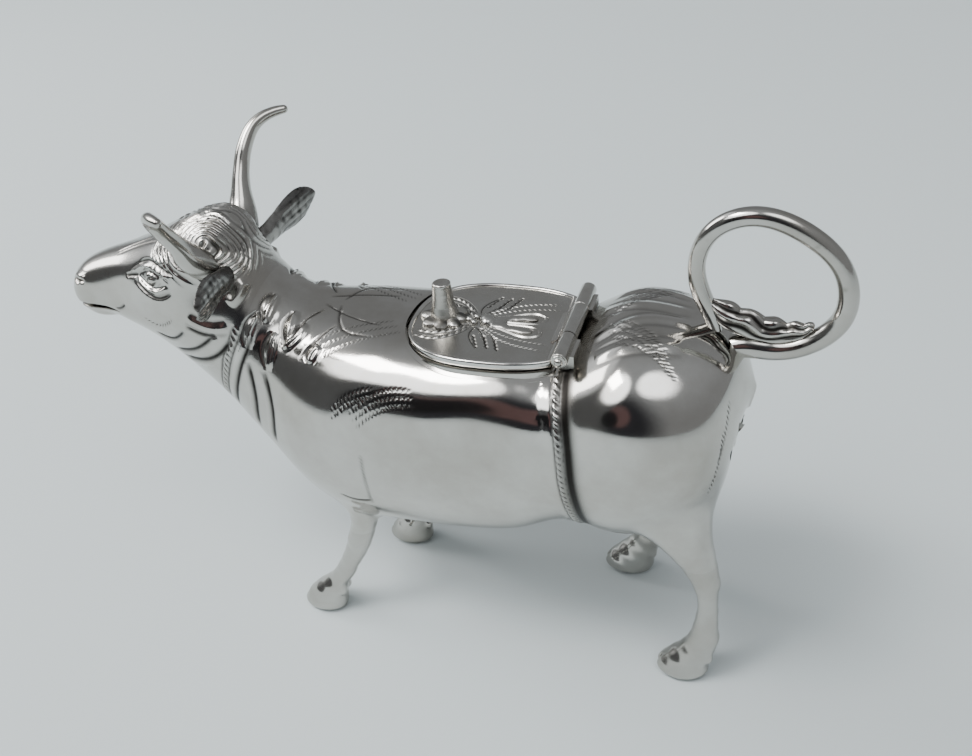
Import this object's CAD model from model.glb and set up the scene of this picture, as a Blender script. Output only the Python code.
"""Silver cow cream jug: sculpted silver skin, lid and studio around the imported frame."""
import math

import bmesh
import bpy
import numpy as np
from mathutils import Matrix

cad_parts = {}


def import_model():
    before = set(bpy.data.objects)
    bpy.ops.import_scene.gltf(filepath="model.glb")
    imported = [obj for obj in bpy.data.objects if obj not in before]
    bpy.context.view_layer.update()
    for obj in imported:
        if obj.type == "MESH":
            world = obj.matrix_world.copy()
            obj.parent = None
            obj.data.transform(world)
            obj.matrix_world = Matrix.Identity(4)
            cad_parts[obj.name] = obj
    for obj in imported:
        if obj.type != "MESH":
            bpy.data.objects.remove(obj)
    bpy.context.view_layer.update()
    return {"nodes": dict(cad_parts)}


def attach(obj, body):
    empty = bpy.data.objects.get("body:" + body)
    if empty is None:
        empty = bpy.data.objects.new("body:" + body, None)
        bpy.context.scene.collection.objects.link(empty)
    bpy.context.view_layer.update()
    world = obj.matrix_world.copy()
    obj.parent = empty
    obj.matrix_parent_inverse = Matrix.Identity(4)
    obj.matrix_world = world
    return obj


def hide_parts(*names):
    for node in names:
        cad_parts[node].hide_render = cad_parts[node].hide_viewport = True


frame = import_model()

import openvdb
from mathutils import Matrix, Vector
from mathutils.kdtree import KDTree

MM = 0.001
SKIN_FACE = 1            # a face of the sculpted surface
CUT_FACE = 2             # a face left by a cutting tool

# ------------------------------------------------------------------ driving sizes, mm
# Body and head stations from the rump to the nose: crest x, z; keel x, z; half width;
# widest share from the keel; roundness of the upper and of the lower half.
STATIONS = [
    (55.3, 56.6, 54.4, 52.4, 1.2, .50, 2.0, 2.0),
    (54.6, 58.6, 53.4, 50.5, 3.5, .50, 2.0, 2.0),
    (52.7, 63.0, 52.0, 40.6, 9.6, .55, 2.1, 2.0),
    (48.7, 66.6, 49.0, 32.2, 15.4, .58, 2.2, 2.0),
    (41.5, 68.6, 41.8, 27.6, 19.0, .60, 2.3, 2.0),
    (34.0, 68.0, 33.5, 27.0, 19.8, .60, 2.4, 2.1),
    (26.2, 63.5, 25.6, 28.2, 18.2, .58, 3.0, 2.1),
    (18.0, 64.1, 18.0, 24.8, 18.4, .57, 3.0, 2.1),
    (8.0, 64.4, 8.0, 22.8, 18.6, .56, 3.0, 2.1),
    (-4.0, 64.6, -5.0, 22.0, 18.5, .56, 2.8, 2.1),
    (-13.5, 64.9, -15.0, 22.4, 17.8, .56, 2.5, 2.1),
    (-20.0, 65.6, -23.0, 26.0, 15.9, .55, 2.2, 2.0),
    (-25.0, 67.2, -30.6, 33.9, 13.4, .54, 2.1, 2.0),
    (-28.2, 70.4, -38.4, 43.0, 11.3, .53, 2.1, 2.0),
    (-31.0, 76.4, -46.6, 50.8, 10.4, .52, 2.1, 2.0),
    (-35.5, 81.4, -53.0, 55.8, 10.2, .52, 2.2, 2.0),
    (-44.0, 79.2, -58.0, 58.3, 8.8, .50, 2.3, 2.0),
    (-53.0, 75.0, -61.5, 59.5, 6.9, .50, 2.3, 2.1),
    (-60.5, 72.2, -65.0, 59.4, 5.9, .50, 2.3, 2.2),
    (-66.2, 69.8, -67.6, 60.4, 4.9, .50, 2.2, 2.2),
    (-68.6, 67.4, -69.0, 62.4, 2.9, .50, 2.0, 2.0),
    (-69.2, 65.6, -69.3, 64.4, 0.9, .50, 2.0, 2.0),
]
NECK_STATION = 13
WALL = 0.85

# Leg sections: z, centre x, centre y outwards, half length in x, half width in y
LEGS = {
    "front_leg_left": (-1, [
        (0.0, -24.6, 11.0, 3.7, 2.4), (0.8, -24.7, 11.0, 4.3, 3.0), (3.0, -24.3, 11.0, 4.2, 3.2),
        (5.6, -22.9, 11.0, 3.3, 2.8), (8.2, -20.9, 10.9, 2.2, 2.1), (11.0, -19.0, 10.8, 2.0, 1.9),
        (16.0, -16.3, 10.6, 2.3, 2.2), (20.5, -14.6, 10.3, 2.4, 2.3), (24.5, -13.6, 10.0, 2.7, 2.6),
        (29.0, -13.0, 9.3, 4.2, 3.8), (34.0, -12.0, 8.2, 6.2, 4.6)]),
    "front_leg_right": (1, [
        (0.0, -14.2, 11.0, 3.9, 2.4), (0.8, -14.3, 11.0, 4.5, 3.0), (3.0, -14.0, 11.0, 4.4, 3.2),
        (5.6, -12.9, 11.0, 3.4, 2.8), (8.2, -11.6, 10.9, 2.3, 2.1), (11.0, -10.7, 10.8, 2.0, 1.9),
        (16.0, -9.9, 10.6, 2.3, 2.2), (20.5, -9.8, 10.3, 2.4, 2.3), (24.5, -10.4, 10.0, 2.7, 2.6),
        (29.0, -11.6, 9.3, 4.2, 3.8), (34.0, -12.5, 8.2, 6.2, 4.6)]),
    "rear_leg_left": (-1, [
        (0.0, 46.9, 12.2, 3.9, 2.5), (0.8, 46.8, 12.2, 4.5, 3.1), (3.0, 47.2, 12.2, 4.4, 3.3),
        (6.0, 48.9, 12.2, 3.4, 2.8), (9.0, 50.1, 12.1, 2.6, 2.3), (13.0, 50.6, 12.0, 2.1, 2.0),
        (17.0, 50.7, 11.8, 1.8, 1.9), (22.0, 50.0, 11.5, 2.2, 2.2), (26.0, 48.7, 11.2, 3.2, 3.0),
        (29.4, 46.9, 10.8, 4.2, 4.0), (33.5, 44.5, 10.0, 6.0, 5.2), (38.0, 43.2, 9.2, 7.0, 5.5),
        (42.0, 42.5, 8.5, 6.5, 5.0)]),
    "rear_leg_right": (1, [
        (0.0, 32.8, 12.2, 4.1, 2.5), (0.8, 32.7, 12.2, 4.7, 3.1), (3.0, 33.2, 12.2, 4.6, 3.3),
        (6.0, 34.9, 12.2, 3.6, 2.8), (9.0, 36.4, 12.1, 2.7, 2.3), (13.0, 37.3, 12.0, 2.1, 2.0),
        (17.0, 37.8, 11.8, 1.8, 1.9), (22.0, 37.4, 11.5, 2.2, 2.2), (26.0, 36.6, 11.2, 3.2, 3.0),
        (29.4, 35.9, 10.8, 4.2, 4.0), (33.5, 35.6, 10.0, 6.6, 5.2), (38.0, 37.0, 9.2, 7.2, 5.5),
        (42.0, 38.5, 8.5, 6.5, 5.0)]),
}


# ------------------------------------------------------------------ smooth curves
class Curve:
    """Natural cubic curve through rows of numbers at rising knots."""

    def __init__(self, rows, knots=None):
        self.v = np.array(rows, float)
        n = len(self.v)
        self.k = np.arange(n, dtype=float) if knots is None else np.array(knots, float)
        h = np.diff(self.k)
        a = np.eye(n)
        b = np.zeros_like(self.v)
        for i in range(1, n - 1):
            a[i, i - 1:i + 2] = h[i - 1], 2 * (h[i - 1] + h[i]), h[i]
            b[i] = 6 * ((self.v[i + 1] - self.v[i]) / h[i] - (self.v[i] - self.v[i - 1]) / h[i - 1])
        self.m = np.linalg.solve(a, b)

    def at(self, s):
        s = np.clip(np.asarray(s, float), self.k[0], self.k[-1])
        i = np.clip(np.searchsorted(self.k, s, side="right") - 1, 0, len(self.k) - 2)
        h = (self.k[i + 1] - self.k[i])[..., None]
        t = (s - self.k[i])[..., None] / h
        u = 1 - t
        bow = ((u ** 3 - u) * self.m[i] + (t ** 3 - t) * self.m[i + 1]) * h * h / 6
        return u * self.v[i] + t * self.v[i + 1] + bow


# ------------------------------------------------------------------ distance fields, mm
def smin(a, b, k):
    h = np.maximum(k - np.abs(a - b), 0) / k
    return np.minimum(a, b) - h * h * k * 0.25


def smax(a, b, k):
    return -smin(-a, -b, k)


def bump(p, centre, size):
    """Soft hill of height 1 round a point, with its own size along each axis."""
    q = (p - np.array(centre)) / np.array(size)
    return np.exp(-np.sum(q * q, 1))


def ellipsoid(p, centre, radii):
    q = p - np.array(centre)
    r = np.array(radii)
    k0 = np.sqrt(np.sum((q / r) ** 2, 1)) + 1e-9
    k1 = np.sqrt(np.sum((q / (r * r)) ** 2, 1)) + 1e-9
    return k0 * (k0 - 1) / k1


class Carcass:
    """The jug's body, neck and head as one field, from its stations."""

    CELL = 0.5
    COARSE = 3
    X0, Z0 = -80.0, 5.0
    X1, Z1 = 66.0, 100.0

    def __init__(self):
        self.frame = Curve([r[:4] for r in STATIONS])
        self.form = Curve([r[4:] for r in STATIONS])
        self.top = len(STATIONS) - 1.0
        s = np.linspace(0, self.top, 300)
        row = self.frame.at(s)[None]
        x = np.arange(self.X0, self.X1, self.COARSE * self.CELL)
        z = np.arange(self.Z0, self.Z1, self.COARSE * self.CELL)
        gx, gz = np.meshgrid(x, z, indexing="ij")
        g, u = self.offsets(row, gx.reshape(-1, 1), gz.reshape(-1, 1))[:2]
        far = np.maximum(np.abs(u - 0.5) - 0.85, 0)
        rough = s[np.argmin(np.abs(g) + 60 * far, axis=1)].reshape(gx.shape)
        self.table = np.kron(rough, np.ones((self.COARSE, self.COARSE)))
        i, j = np.indices(self.table.shape)
        gx, gz = self.X0 + self.CELL * i, self.Z0 + self.CELL * j
        s = self.table.ravel()
        for _ in range(5):
            s = self.refine(s, gx.ravel(), gz.ravel())
        self.table = s.reshape(self.table.shape)

    @staticmethod
    def offsets(row, x, z):
        """How far a point lies off a station's plane, its share up it and the plane's height."""
        ax = row[..., 0] - row[..., 2]
        az = row[..., 1] - row[..., 3]
        high = np.sqrt(ax * ax + az * az)
        dx = x - row[..., 2]
        dz = z - row[..., 3]
        return (az * dx - ax * dz) / high, (ax * dx + az * dz) / high ** 2, high

    def refine(self, s, x, z, e=1e-3):
        """One Newton step towards the station whose plane holds the point."""
        g = self.offsets(self.frame.at(s), x, z)[0]
        rate = (self.offsets(self.frame.at(s + e), x, z)[0] - g) / e
        rate = np.where(np.abs(rate) < 0.5, -0.5, rate)
        return np.clip(s - np.clip(g / rate, -0.5, 0.5), 0, self.top - 2 * e)

    def locate(self, x, z):
        fx = np.clip((x - self.X0) / self.CELL, 0, self.table.shape[0] - 1.001)
        fz = np.clip((z - self.Z0) / self.CELL, 0, self.table.shape[1] - 1.001)
        i, j = fx.astype(int), fz.astype(int)
        fx, fz = fx - i, fz - j
        t = self.table
        s = ((1 - fx) * ((1 - fz) * t[i, j] + fz * t[i, j + 1])
             + fx * ((1 - fz) * t[i + 1, j] + fz * t[i + 1, j + 1]))
        s = self.refine(s, x, z)
        return s, *self.offsets(self.frame.at(s), x, z)

    def field(self, p):
        s, g, u, high = self.locate(p[:, 0], p[:, 2])
        half, widest, top, low = self.form.at(s).T
        above = u > widest
        power = np.where(above, top, low)
        reach = np.where(above, 1 - widest, widest) * high
        up = np.abs(u - widest) * high
        side = np.abs(p[:, 1])
        grow = ((side / half) ** power + (up / reach) ** power) ** (1 / power) + 1e-6
        r = np.sqrt(side ** 2 + up ** 2)
        d = r - r / grow
        return np.where(np.abs(g) > 0.02, np.maximum(d, np.abs(g)), d)


CARCASS = Carcass()
LEG_CURVES = {
    name: (side, Curve([row[1:] for row in rows], [row[0] for row in rows]))
    for name, (side, rows) in LEGS.items()}


def leg_field(p, name):
    side, curve = LEG_CURVES[name]
    z = p[:, 2]
    row = curve.at(z)
    dx = p[:, 0] - row[:, 0]
    dy = side * p[:, 1] - row[:, 1]
    grow = np.sqrt((dx / row[:, 2]) ** 2 + (dy / row[:, 3]) ** 2) + 1e-6
    r = np.sqrt(dx ** 2 + dy ** 2)
    d = r - r / grow
    d = smax(d, -z, 1.0)
    return np.maximum(d, z - curve.k[-1])


EYE = (-46.6, 8.9, 71.9)
TOE = dict(width=0.7, depth=4.2, height=3.6)
HOOF_LEVEL = 2.0
TENDON_LEVEL = 14.0
MOUTH_BACK = -57.8
MOUTH_LEVEL = 62.9
MOUTH_HALF_OPEN = 0.42


def mirrored(p):
    """Points moved to the +Y side, so that one field serves both sides."""
    q = p.copy()
    q[:, 1] = np.abs(q[:, 1])
    return q


def head_shape(d, q):
    """Eye sockets, eyeballs, cheeks, nostrils, mouth and chin; q is on the +Y side."""
    d = d + 0.75 * bump(q, EYE, (4.0, 3.0, 2.3))
    d = d - 0.55 * bump(q, (-46.0, 8.4, 75.3), (4.5, 2.5, 1.6))
    d = d - 0.7 * bump(q, (-40.5, 9.6, 65.0), (5.0, 3.0, 3.6))
    d = d + 0.5 * bump(q, (-54.0, 7.0, 67.5), (5.0, 3.0, 3.0))
    d = d + 0.5 * bump(q, (-35.5, 10.0, 70.5), (3.0, 3.0, 3.0))
    d = d - 0.35 * bump(q, (-64.8, 4.6, 68.4), (2.2, 2.0, 2.0))
    d = smin(d, ellipsoid(q, (-63.4, 0.0, 60.9), (4.0, 4.0, 1.9)), 1.2)
    d = smin(d, ellipsoid(q, (-46.5, 7.6, 71.9), (1.9, 1.9, 1.7)), 0.25)
    d = smax(d, -ellipsoid(q, (-66.2, 4.5, 67.6), (1.0, 1.1, 0.55)), 0.35)
    d = smax(d, -ellipsoid(q, (-64.9, 5.1, 67.9), (0.8, 0.8, 0.4)), 0.35)
    lip = MOUTH_LEVEL - 0.012 * (q[:, 0] + 62.0) ** 2
    open_half = MOUTH_HALF_OPEN * np.clip((q[:, 0] - MOUTH_BACK) / -2.5, 0, 1)
    slit = np.maximum(np.abs(q[:, 2] - lip) - open_half, q[:, 0] - MOUTH_BACK)
    return smax(d, -slit, 0.35)


def hoof_shape(d, p, name):
    side, curve = LEG_CURVES[name]
    x, y, half = curve.at(np.array([HOOF_LEVEL]))[0][:3]
    front = x - half - 0.6
    across = side * p[:, 1] - y
    gap = np.maximum(np.abs(across) - TOE["width"] / 2, p[:, 0] - front - TOE["depth"])
    gap = np.maximum(gap, p[:, 2] - TOE["height"] + 0.35 * (p[:, 0] - front))
    d = smax(d, -gap, 0.5)
    q = np.column_stack([p[:, 0], np.abs(across), p[:, 2]])
    return smin(d, ellipsoid(q, (x + half * 0.95, 1.2, 5.4), (0.9, 0.75, 1.1)), 0.5)


JOINTS = {
    "front_leg": ((19.5, -0.9, 0.0), (9.6, 1.6, 0.5)),
    "rear_leg": ((22.5, 1.6, 0.4), (9.6, 1.4, 0.4)),
}


def leg_joints(leg, p, name):
    """Knee or hock and fetlock: each a height, a shift along X and a rise."""
    side, curve = LEG_CURVES[name]
    for z, shift, rise in JOINTS[name.rsplit("_", 1)[0]]:
        x, y = curve.at(np.array([z]))[0][:2]
        leg = leg - (0.35 + rise * 0.5) * bump(p, (x + shift, side * y, z), (2.2, 2.6, 1.7))
    tendon = curve.at(np.array([TENDON_LEVEL]))[0]
    spot = (tendon[0] + 0.6, side * (tendon[1] + tendon[3]), TENDON_LEVEL)
    leg = leg + 0.35 * bump(p, spot, (0.8, 1.2, 3.6))
    return leg + 0.03 * np.sin(p[:, 2] * 2.1 + p[:, 0]) * np.clip(30 - p[:, 2], 0, 1)


def body_waves(p):
    """The slow unevenness of sheet that was raised by hand."""
    x, y, z = p.T
    wave = np.sin(x / 3.1 + 0.6 * np.sin(z / 4.0)) * np.cos(z / 4.3 + y / 7.0)
    wave += 0.7 * np.sin(x / 5.7 - z / 3.7 + 1.3) * np.sin(y / 4.1 + 0.8)
    return wave


def cow_field(p):
    d = CARCASS.field(p)
    x = p[:, 0]
    d = d + 0.10 * body_waves(p) * np.clip((x + 40) / 8, 0, 1)
    q = mirrored(p)
    d = d - 0.7 * bump(q, (-16.0, 16.5, 46.0), (8.0, 5.0, 9.0))
    d = d - 0.5 * bump(q, (45.0, 15.5, 52.0), (8.0, 5.0, 9.0))
    d = d + 0.5 * bump(q, (-26.5, 12.0, 55.0), (4.0, 5.0, 8.0))
    ahead = x < -30
    d[ahead] = head_shape(d[ahead], q[ahead])
    near = p[:, 2] < 46
    if near.any():
        low_p, low = p[near], d[near]
        for name in LEGS:
            leg = leg_joints(leg_field(low_p, name), low_p, name)
            foot = low_p[:, 2] < 9
            if foot.any():
                leg[foot] = hoof_shape(leg[foot], low_p[foot], name)
            low = smin(low, leg, 3.0 if "rear" in name else 1.8)
        d[near] = low
    under_chin = np.minimum(-50 - x, 52 - p[:, 2])
    return np.maximum(d, under_chin)


# ------------------------------------------------------------------ bars along a line
class Tube:
    """Round bar along a smooth line of points (x, y, z, radius)."""

    def __init__(self, rows):
        self.curve = Curve(rows)
        self.s = np.linspace(0, len(rows) - 1, 10 * len(rows))
        self.spots = self.curve.at(self.s)[:, :3]

    def nearest(self, p):
        """Place along the line nearest to each point, with the line's row and run there."""
        s = np.empty(len(p))
        for at in range(0, len(p), 20000):
            part = p[at:at + 20000]
            gaps = np.sum(self.spots ** 2, 1) - 2 * part @ self.spots.T
            s[at:at + 20000] = self.s[np.argmin(gaps, 1)]
        e = 1e-3
        for _ in range(2):
            row, ahead = self.curve.at(s)[:, :3], self.curve.at(s + e)[:, :3]
            run = (ahead - row) / e
            ask = np.sum((p - row) * run, 1) / np.maximum(np.sum(run * run, 1), 1e-6)
            s = np.clip(s + np.clip(ask, -0.3, 0.3), 0, self.curve.k[-1] - e)
        row, ahead = self.curve.at(s), self.curve.at(s + e)
        run = ahead[:, :3] - row[:, :3]
        return s, row, run / np.linalg.norm(run, axis=1)[:, None]

    def field(self, p):
        row = self.nearest(p)[1]
        return np.linalg.norm(p - row[:, :3], axis=1) - row[:, 3]


# ------------------------------------------------------------------ meshing
def slope(field, p, e=0.05):
    g = np.empty_like(p)
    for k in range(3):
        step = np.zeros(3)
        step[k] = e
        g[:, k] = (field(p + step) - field(p - step)) / (2 * e)
    return g


def skin(field, low, high, step, block=4):
    """Points and quads on the zero surface of a field inside a box."""
    low = np.array(low, float)
    count = np.ceil((np.array(high) - low) / (step * block)).astype(int)
    centres = np.indices(count).reshape(3, -1).T * (step * block) + low + step * block / 2
    d = field(centres)
    grid = np.where(d < 0, -1.0, 1.0).astype(np.float32).reshape(count)
    grid = np.kron(grid, np.ones((block, block, block), np.float32))
    keep = np.abs(d) < step * block * 1.35
    local = np.indices((block, block, block)).reshape(3, -1).T
    corners = np.argwhere(keep.reshape(count)) * block
    for part in np.array_split(corners, max(1, len(corners) // 1200)):
        ids = (part[:, None, :] + local[None]).reshape(-1, 3)
        value = np.clip(field(ids * step + low), -1, 1)
        grid[ids[:, 0], ids[:, 1], ids[:, 2]] = value
    volume = openvdb.FloatGrid(1.0)
    volume.copyFromArray(np.ascontiguousarray(grid))
    points, quads = volume.convertToQuads(0.0)
    return points.astype(float) * step + low, quads


def settle(field, points, rounds=2):
    """Moves points onto the zero surface and gives the surface's normals there."""
    for _ in range(rounds):
        d = field(points)
        g = slope(field, points)
        points = points - g * (np.clip(d, -0.4, 0.4) / np.maximum(np.sum(g * g, 1), 0.05))[:, None]
    g = slope(field, points)
    return points, g / np.linalg.norm(g, axis=1)[:, None]


def attribute(mesh, name, kind, domain, values):
    made = mesh.attributes.new(name, kind, domain)
    if kind == "FLOAT_VECTOR":
        made.data.foreach_set("vector", np.asarray(values, np.float32).ravel())
    else:
        made.data.foreach_set("value", np.asarray(values, np.int32 if kind == "INT" else np.float32))


def read_ways(mesh):
    """The sculpted normal kept at each point."""
    values = np.empty(len(mesh.vertices) * 3, np.float32)
    mesh.attributes["way"].data.foreach_get("vector", values)
    return values.reshape(-1, 3)


def read_kinds(mesh):
    """What each face is: SKIN_FACE or CUT_FACE."""
    values = np.empty(len(mesh.polygons), np.int32)
    mesh.attributes["kind"].data.foreach_get("value", values)
    return values


def show(name, mesh, body, nodes, material):
    piece = bpy.data.objects.new(name, mesh)
    bpy.context.scene.collection.objects.link(piece)
    mesh.materials.clear()
    mesh.materials.append(material)
    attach(piece, body)
    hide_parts(*nodes)


def halve(points, tris, chosen):
    """Splits every edge whose two ends are chosen; each triangle becomes up to four."""
    edges = np.sort(np.concatenate([tris[:, [0, 1]], tris[:, [1, 2]], tris[:, [2, 0]]]), axis=1)
    unique, back = np.unique(edges[:, 0] * len(points) + edges[:, 1], return_inverse=True)
    ends = np.column_stack([unique // len(points), unique % len(points)])
    split = chosen[ends].all(1)
    new_id = np.full(len(unique), -1)
    new_id[split] = len(points) + np.arange(split.sum())
    points = np.vstack([points, points[ends[split]].mean(1)])
    mid = new_id[back].reshape(3, -1).T
    cuts = (mid >= 0).sum(1)
    out = [tris[cuts == 0]]
    for count in (1, 2):
        pick = cuts == count
        t, m = tris[pick], mid[pick]
        turn = np.argmax(m >= 0, 1) if count == 1 else (np.argmin(m, 1) + 1) % 3
        roll = (np.arange(3) + turn[:, None]) % 3
        t, m = np.take_along_axis(t, roll, 1), np.take_along_axis(m, roll, 1)
        if count == 1:
            out += [np.column_stack([t[:, 0], m[:, 0], t[:, 2]]),
                    np.column_stack([m[:, 0], t[:, 1], t[:, 2]])]
        else:
            out += [np.column_stack([m[:, 0], t[:, 1], m[:, 1]]),
                    np.column_stack([t[:, 0], m[:, 0], m[:, 1]]),
                    np.column_stack([t[:, 0], m[:, 1], t[:, 2]])]
    t, m = tris[cuts == 3], mid[cuts == 3]
    out += [np.column_stack([t[:, 0], m[:, 0], m[:, 2]]), np.column_stack([m[:, 0], t[:, 1], m[:, 1]]),
            np.column_stack([m[:, 2], m[:, 1], t[:, 2]]), m]
    return points, np.vstack(out)


def corner_normals(points, tris):
    """Normal at each point from the triangles round it."""
    a, b, c = (points[tris[:, k]] for k in range(3))
    face = np.cross(b - a, c - a)
    total = np.column_stack([
        sum(np.bincount(tris[:, k], face[:, axis], len(points)) for k in range(3)) for axis in range(3)])
    return total / np.maximum(np.linalg.norm(total, axis=1), 1e-12)[:, None]


class Skin:
    """A sculpted surface: its points, triangles, normals and how dark each point is."""

    def __init__(self, field, low, high, step, fine=None, rounds=0):
        self.points, quads = skin(field, low, high, step)
        diagonal = [np.linalg.norm(self.points[quads[:, k]] - self.points[quads[:, k + 2]], axis=1)
                    for k in (0, 1)]
        one = np.vstack([quads[:, [0, 1, 2]], quads[:, [0, 2, 3]]])
        two = np.vstack([quads[:, [0, 1, 3]], quads[:, [1, 2, 3]]])
        pick = np.tile(diagonal[0] < diagonal[1], 2)
        self.tris = np.where(pick[:, None], one, two).astype(np.int64)
        self.points = settle(field, self.points)[0]
        for _ in range(rounds):
            self.points, self.tris = halve(self.points, self.tris, fine(self.points))
        self.points, self.normals = settle(field, self.points, 1 if rounds == 0 else 2)
        self.dark = np.zeros(len(self.points))

    def raise_by(self, height, dark=0.0):
        """Moves the points along their normals and bends the normals with them."""
        before = corner_normals(self.points, self.tris)
        self.points = self.points + self.normals * height[:, None]
        bent = self.normals + corner_normals(self.points, self.tris) - before
        self.normals = bent / np.linalg.norm(bent, axis=1)[:, None]
        self.dark = np.clip(self.dark + 1.35 * dark, 0, 1)
        return self

    def mesh(self, name, kind=SKIN_FACE):
        mesh = bpy.data.meshes.new(name)
        mesh.from_pydata(self.points * MM, [], self.tris)
        attribute(mesh, "way", "FLOAT_VECTOR", "POINT", self.normals)
        attribute(mesh, "dark", "FLOAT", "POINT", self.dark)
        attribute(mesh, "kind", "INT", "FACE", np.full(len(self.tris), kind))
        return mesh


# ------------------------------------------------------------------ chased and engraved lines
class Line:
    """A line on a surface: each point near it gets a distance along and across it, mm."""

    STEP = 0.22

    def __init__(self, rows, field=None):
        rows = np.array(rows, float)
        knots = np.concatenate([[0], np.cumsum(np.linalg.norm(np.diff(rows, axis=0), axis=1))])
        self.length = knots[-1]
        self.at = np.linspace(0, self.length, int(self.length / self.STEP) + 2)
        self.spots = Curve(rows, knots).at(self.at)
        if field is not None:
            self.spots = settle(field, self.spots, 4)[0]
            steps = np.linalg.norm(np.diff(self.spots, axis=0), axis=1)
            self.at = np.concatenate([[0], np.cumsum(steps)])
            self.length = self.at[-1]
        self.run = np.gradient(self.spots, axis=0)
        self.run /= np.linalg.norm(self.run, axis=1)[:, None]

    def near(self, points, normals, reach):
        """Which points are within reach, with their distance along and across the line."""
        low, high = self.spots.min(0) - reach, self.spots.max(0) + reach
        ids = np.flatnonzero(((points > low) & (points < high)).all(1))
        if not len(ids):
            return ids, *np.zeros((3, 0))
        p, n = points[ids], normals[ids]
        gaps = np.sum(self.spots ** 2, 1) - 2 * p @ self.spots.T
        best = np.argmin(gaps, 1)
        off = p - self.spots[best]
        run = self.run[best]
        along = np.sum(off * run, 1)
        across = np.sum(off * np.cross(n, run), 1)
        keep = (np.abs(along) < self.STEP * 1.5) & (np.abs(across) < reach)
        keep &= np.abs(np.sum(off * n, 1)) < 1.5
        place = self.at[best] + along
        return ids[keep], place[keep], across[keep], place[keep] / self.length


def profile(kind, width, depth, place, across, share):
    """Height and darkness that one kind of line gives, across its width and along it."""
    taper = np.clip(np.minimum(share, 1 - share) * 7, 0, 1) ** 0.6
    q = across / width
    dip = np.exp(-q * q)
    if kind == "cut":
        return -depth * dip * taper, 0.75 * dip * taper
    if kind == "fold":
        swell = np.exp(-((q - 1.9) / 1.3) ** 2)
        return depth * (0.5 * swell - dip) * taper, 0.8 * dip * taper
    if kind == "ridge":
        edge = np.exp(-((np.abs(q) - 1.9) / 0.5) ** 2)
        return depth * (dip - 0.25 * edge) * taper, 0.25 * edge * taper
    if kind == "lock":
        swell = 0.3 + 0.8 * np.sin(math.pi * share)
        body = np.exp(-(q / swell) ** 2) + 0.25 * np.sin(6 * q) * dip
        edge = np.exp(-((q - 1.5 * swell) / 0.4) ** 2)
        return depth * (body - 0.45 * edge) * taper, 0.6 * edge * taper
    if kind == "rope":
        twist = np.sin(2 * math.pi * (place + 0.9 * across) / 1.25)
        edge = np.exp(-((np.abs(q) - 1.6) / 0.45) ** 2)
        dark = np.clip(-twist, 0, 1) * dip
        high = depth * (dip * (0.5 + 0.5 * twist) - 0.55 * edge)
        return high * taper, (0.75 * dark + 0.6 * edge) * taper
    ticks = np.clip(np.sin(2 * math.pi * (place + 1.1 * across) / 0.85), 0, 1)
    return -depth * dip * ticks * taper, 0.9 * dip * ticks * taper


def chase(skin_made, lines, field=None, sides=(1, -1)):
    """Works a list of (kind, width, depth, points) into a surface, on each side of Y=0."""
    height = np.zeros(len(skin_made.points))
    dark = np.zeros(len(skin_made.points))
    for kind, width, depth, rows in lines:
        for side in sides:
            rows_here = [(x, side * y, z) for x, y, z in rows]
            line = Line(rows_here, field)
            ids, place, across, share = line.near(skin_made.points, skin_made.normals, 3 * width)
            h, k = profile(kind, width, depth, place, across * side, share)
            height[ids] += h
            dark[ids] = np.maximum(dark[ids], k)
    return height, dark


def near_lines(lines, field, reach, sides=(1, -1)):
    """A test for points that lie within reach of any of the lines."""
    spots = []
    for *_, rows in lines:
        for side in sides:
            spots.append(Line([(x, side * y, z) for x, y, z in rows], field).spots[::2])
    spots = np.vstack(spots)
    cells = {tuple(c) for s in spots for c in
             (np.floor(s / reach).astype(int) + np.indices((3, 3, 3)).reshape(3, -1).T - 1)}
    keys = np.array(sorted(a * 1000003 + b * 1009 + c for a, b, c in cells))

    def test(points):
        c = np.floor(points / reach).astype(int)
        return np.isin(c[:, 0] * 1000003 + c[:, 1] * 1009 + c[:, 2], keys)

    return test


def shifted(rows, dx, dy, dz):
    return [(x + dx, y + dy, z + dz) for x, y, z in rows]


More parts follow.
